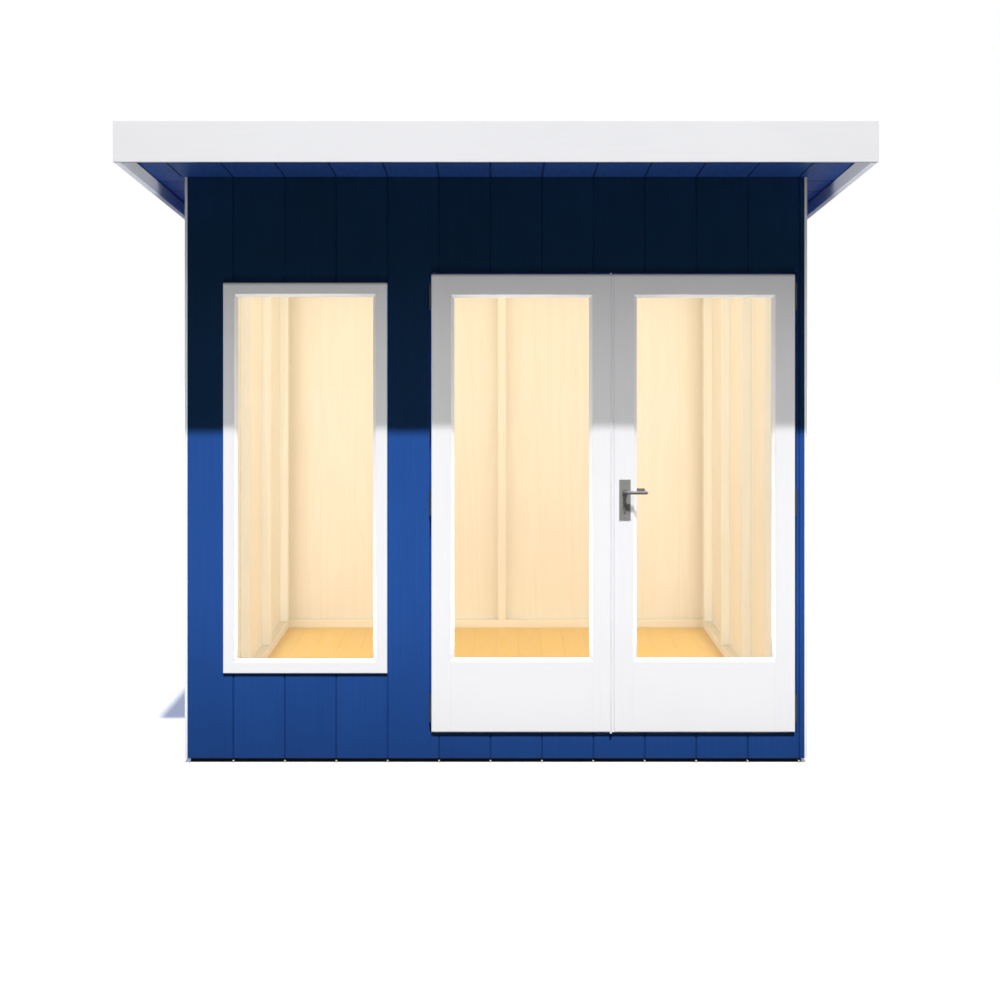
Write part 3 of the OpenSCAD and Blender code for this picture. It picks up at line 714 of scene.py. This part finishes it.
def lamp(name, kind, place, aim, **settings):
    """A lamp that is itself out of sight."""
    data = bpy.data.lights.new(name, kind)
    for key, value in settings.items():
        setattr(data, key, value)
    obj = bpy.data.objects.new(name, data)
    obj.location = place
    obj.rotation_euler = (aim - place).to_track_quat("-Z", "Y").to_euler()
    obj.visible_camera = False
    obj.visible_transmission = False
    scene.collection.objects.link(obj)
    return obj


def linked_group(name, objects, state):
    """A collection for light linking; the state of its members is INCLUDE or EXCLUDE."""
    group = bpy.data.collections.new(name)
    for obj in objects:
        group.objects.link(obj)
    for member in group.collection_objects:
        member.light_linking.link_state = state
    return group


def link(lamp_object, objects, state):
    """Keeps a lamp to some objects, with state INCLUDE, or off them, with state EXCLUDE."""
    group = linked_group(lamp_object.name + "_receivers", objects, state)
    lamp_object.light_linking.receiver_collection = group


def shadow_only_from(lamp_object, objects):
    """Lets a lamp's light through everything but some objects."""
    group = linked_group(lamp_object.name + "_blockers", objects, "INCLUDE")
    lamp_object.light_linking.blocker_collection = group


def sun(name, travel, power, **settings):
    """A lamp at infinity whose light travels one way."""
    return lamp(name, "SUN", -travel, Vector((0, 0, 0)), energy=power, **settings)


def panel(name, place, aim, size, power, tint, receivers=None):
    """A rectangular lamp, kept to some objects where they are given."""
    obj = lamp(name, "AREA", place, aim, energy=power, color=tint,
               shape="RECTANGLE", size=size[0], size_y=size[1])
    if receivers is not None:
        link(obj, receivers, "INCLUDE")


def white_pieces():
    """The fascias, and the rest of the white joinery."""
    white = [m for key in ("white_x", "white_y", "white_z") for m in FINISH[key][1:]]
    fascias = [nodes[m] for m in white if "fascia" in m]
    joinery = [nodes[m] for m in white if "fascia" not in m]
    joinery.append(bpy.data.objects["meeting_seal"])
    return fascias, joinery


def light_the_front():
    """Daylight from in front and above, and light thrown up by the ground on the white joinery."""
    fascias, joinery = white_pieces()
    beads = [obj for obj in joinery if "_beads" in obj.name]
    meeting = [obj for obj in joinery if "meeting" in obj.name]
    main_sun = sun("sun", SUN_TRAVEL, SUN_POWER, angle=SUN_ANGLE)
    link(main_sun, [nodes["floor_deck"]], "EXCLUDE")
    sun("sky", SKY_TRAVEL, SKY_POWER, angle=SKY_ANGLE, color=SKY_COLOUR)
    joinery_sky = sun("joinery_sky", SKY_TRAVEL, JOINERY_SKY_POWER, angle=SKY_ANGLE)
    link(joinery_sky, joinery, "INCLUDE")
    fill_place = Vector((0, -8.0, 3.4))
    fill_aim = Vector((0, -1, 1.3))
    fill_size = (6.0, 5.0)
    for name, power, tint, receivers in (
            ("joinery_fill", JOINERY_FILL_POWER, COOL, joinery),
            ("fascia_front", FASCIA_FRONT_POWER, COOL, fascias),
            ("bead_fill", BEAD_FILL_POWER, WARM, beads),
            ("meeting_fill", MEETING_FILL_POWER, COOL, meeting),
            ("trim_fill", TRIM_FILL_POWER, COOL, [nodes["corner_trims"]])):
        panel(name, fill_place, fill_aim, fill_size, power, tint, receivers)
    glow_z = 0.01
    for name, glow_y, size, power, tint, receivers in (
            ("ground_glow", -3.2, (8.0, 4.0), GROUND_GLOW_POWER, COOL, joinery),
            ("bead_glow", front_y - 0.07, (3.0, 0.1), BEAD_GLOW_POWER, BEAD_LIGHT, beads)):
        place = Vector((0, glow_y, glow_z))
        panel(name, place, place + Vector((0, 0, 1)), size, power, tint, receivers)


def light_the_back_and_sides(ground):
    """Two suns from behind that leave the ground alone, and panels for the white trims at the sides."""
    trims = [nodes["corner_trims"], nodes["side_fascias"]]
    for side in (-1, 1):
        travel = Vector((side * REAR_SUN_TRAVEL.x, REAR_SUN_TRAVEL.y, REAR_SUN_TRAVEL.z))
        rear = sun(f"rear_sun_{side}", travel, REAR_SUN_POWER, angle=REAR_SUN_ANGLE)
        link(rear, [ground], "EXCLUDE")
        # With suns here, ten in all, the render lost the first sun on the joinery
        panel(f"trim_light_{side}", Vector((side * 8.0, 0, 2.5)), Vector((0, 0, 1.3)), (6.0, 5.0),
              TRIM_LIGHT_POWER, COOL, trims)


def light_the_eaves():
    """Light from the ground on the soffits and the inner faces of the side fascias."""
    for soffit, power in SOFFIT_POWERS.items():
        panel(soffit + "_fill", Vector((0, -2.2, 0.03)), Vector((0, -1.5, 2.3)), (3.0, 1.2),
              power, SOFFIT_LIGHT, [nodes[soffit]])
    # The wall under the front soffit takes no blue light from it, as in the photograph
    nodes["front_soffit"].visible_diffuse = False
    panel("fascia_fill", Vector((0, -1.9, 0.6)), Vector((0, -1.9, 2.3)), (1.0, 0.5),
          FASCIA_FILL_POWER, FASCIA_LIGHT, [nodes["side_fascias"]])


def light_the_room(ground):
    """Even light in the room, from panels that face inwards and from suns that pass through the walls."""
    inset = 0.06
    middle_y = (room_y[0] + room_y[1]) / 2
    middle_z = 1.06
    ceiling_z = 2.0
    panel_width = 2.2
    panel_height = 1.9
    panel("ceiling_panel", Vector((0, middle_y, ceiling_z)), Vector((0, middle_y, 0)),
          (panel_width, panel_width), CEILING_POWER, ROOM_LIGHT)
    for name, side in (("left_panel", -1), ("right_panel", 1)):
        place = Vector((side * (room_x - inset), middle_y, middle_z))
        panel(name, place, Vector((0, middle_y, middle_z)), (panel_width, panel_height),
              SIDE_PANEL_POWER, SIDE_LIGHT)
    side_walls = [nodes[m] for m in ("side_wall_studs", "side_wall_plates", "left_wall", "right_wall")]
    back_walls = [nodes[m] for m in ("back_wall", "back_wall_studs", "back_wall_plates")]
    across, ahead = STUD_LIGHT_TRAVEL.x, STUD_LIGHT_TRAVEL.y
    for name, travel_x, power, tint, receivers in (
            ("left_stud_light", -across, STUD_LIGHT_POWER, STUD_LIGHT, side_walls),
            ("right_stud_light", across, STUD_LIGHT_POWER, STUD_LIGHT, side_walls),
            ("back_wall_light", 0, BACK_WALL_LIGHT_POWER, ROOM_LIGHT, back_walls)):
        daylight = sun(name, Vector((travel_x, ahead, 0)), power, color=tint)
        link(daylight, receivers, "INCLUDE")
        shadow_only_from(daylight, [ground])
    plates_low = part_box("back_wall_plates")[0]
    foot_place = Vector((0, plates_low.y - 0.35, plates_low.z + 0.03))
    panel("back_foot_light", foot_place, foot_place + Vector((0, 1, 0)), (panel_width, 0.06),
          FOOT_LIGHT_POWER, FOOT_LIGHT, back_walls)


def world():
    """White to the camera and in glass and metal; a dim warm fill to everything else."""
    backdrop = bpy.data.worlds.new("plain_white")
    scene.world = backdrop
    backdrop.use_nodes = True
    tree = backdrop.node_tree
    background = tree.nodes["Background"]
    tint = tree.nodes.new("ShaderNodeMix")
    tint.data_type = "RGBA"
    tree.links.new(seen_directly(tree), tint.inputs[0])
    tint.inputs[6].default_value = AMBIENT_COLOUR
    tint.inputs[7].default_value = WHITE
    tree.links.new(tint.outputs[2], background.inputs["Color"])


def seen_directly(tree):
    """1 for what the camera sees, itself or in glass and metal."""
    path = tree.nodes.new("ShaderNodeLightPath")
    total = path.outputs["Is Camera Ray"]
    for key in ("Is Glossy Ray", "Is Transmission Ray"):
        step = tree.nodes.new("ShaderNodeMath")
        step.operation = "MAXIMUM"
        tree.links.new(total, step.inputs[0])
        tree.links.new(path.outputs[key], step.inputs[1])
        total = step.outputs[0]
    return total


def lay_ground():
    """A pale ground that takes the shadow and throws little light back up."""
    mesh = bmesh.new()
    corners = []
    for x, y in ((-1, -1), (1, -1), (1, 1), (-1, 1)):
        corners.append(mesh.verts.new((x * GROUND_HALF, y * GROUND_HALF, GROUND_Z)))
    mesh.faces.new(corners)
    data = bpy.data.meshes.new("ground")
    mesh.to_mesh(data)
    mesh.free()
    material = bpy.data.materials.new("pale_ground")
    material.use_nodes = True
    tree = material.node_tree
    tree.nodes.clear()
    output = tree.nodes.new("ShaderNodeOutputMaterial")
    choose = tree.nodes.new("ShaderNodeMixShader")
    bounce = tree.nodes.new("ShaderNodeBsdfDiffuse")
    bounce.inputs["Color"].default_value = GROUND_BOUNCE
    pale = tree.nodes.new("ShaderNodeBsdfDiffuse")
    pale.inputs["Color"].default_value = GROUND_PALE
    lift = tree.nodes.new("ShaderNodeEmission")
    lift.inputs["Color"].default_value = GROUND_LIFT
    total = tree.nodes.new("ShaderNodeAddShader")
    tree.links.new(pale.outputs[0], total.inputs[0])
    tree.links.new(lift.outputs[0], total.inputs[1])
    tree.links.new(seen_directly(tree), choose.inputs[0])
    tree.links.new(bounce.outputs[0], choose.inputs[1])
    tree.links.new(total.outputs[0], choose.inputs[2])
    tree.links.new(choose.outputs[0], output.inputs["Surface"])
    data.materials.append(material)
    obj = bpy.data.objects.new("ground", data)
    scene.collection.objects.link(obj)
    return obj


def camera():
    """A level camera where the photograph was taken from."""
    data = bpy.data.cameras.new("camera")
    data.lens = CAMERA_LENS
    data.sensor_width = CAMERA_SENSOR
    data.sensor_fit = "HORIZONTAL"
    data.shift_x, data.shift_y = CAMERA_SHIFT
    obj = bpy.data.objects.new("camera", data)
    obj.location = CAMERA_PLACE
    obj.rotation_euler = (math.radians(90), 0, 0)
    scene.collection.objects.link(obj)
    scene.camera = obj


scene.view_settings.view_transform = "Standard"
ground_plane = lay_ground()
light_the_front()
light_the_back_and_sides(ground_plane)
light_the_eaves()
light_the_room(ground_plane)
world()
camera()
